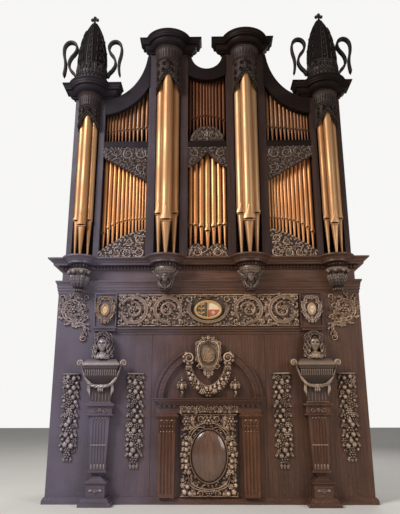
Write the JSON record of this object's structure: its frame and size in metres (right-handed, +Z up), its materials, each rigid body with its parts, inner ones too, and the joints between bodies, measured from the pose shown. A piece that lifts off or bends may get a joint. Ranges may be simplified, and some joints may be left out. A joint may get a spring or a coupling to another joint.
{
  "type": "pipe organ case",
  "caption": "Free-standing carved oak pipe organ: panelled lower case with herm pilasters, pipe towers and flats above, mitre finials.",
  "frame": {"origin": "on the floor at the middle of the plinth under the front wall, with the front wall's face at y = 0", "axes": "+Z up, the front faces -Y, +X to the right as seen from the front"},
  "size_m": [5.932, 1.9175, 9.485],
  "materials": {
    "oak": "dark waxed oak",
    "carved_oak": "dark carved oak, worn lighter on its high places",
    "gilded_pipe": "gilded tin-lead organ pipe, satin",
    "pipe_metal": "tin-lead organ pipe with a warm copper-gold tone, satin"
  },
  "bodies": {
    "root": {"plinth": "oak", "front_wall": "oak", "side_walls": "oak", "back_wall": "oak", "side_mouldings": "oak", "lower_cornice": "oak", "impost_frieze": "oak", "impost_cornice": "oak", "impost_floor": "oak", "consoles_outer": "carved_oak", "consoles_inner": "carved_oak", "herm_pedestals": "oak", "herm_shafts": "oak", "herm_capitals": "carved_oak", "herm_busts": "carved_oak", "fruit_drops": "carved_oak", "architrave": "oak", "scroll_band": "carved_oak", "herald_panels": "carved_oak", "corner_brackets": "carved_oak", "tabernacle_pilasters": "oak", "tabernacle_cornice": "oak", "broken_arch": "oak", "cartouche": "carved_oak", "garland": "carved_oak", "oval_frame": "carved_oak", "oval_boss": "oak", "posts": "oak", "middle_rails": "oak", "top_rails": "oak", "tower_pipes_outer": "gilded_pipe", "tower_pipes_inner": "gilded_pipe", "side_pipes_lower": "pipe_metal", "side_pipes_upper": "pipe_metal", "middle_pipes_lower": "pipe_metal", "middle_pipes_upper": "pipe_metal", "tower_screens": "carved_oak", "pipe_shades": "carved_oak", "tower_caps": "oak", "mitres": "carved_oak", "mitre_ribbons": "carved_oak", "upper_sides": "oak", "upper_back": "oak", "roof": "oak"}
  },
  "joints": []
}
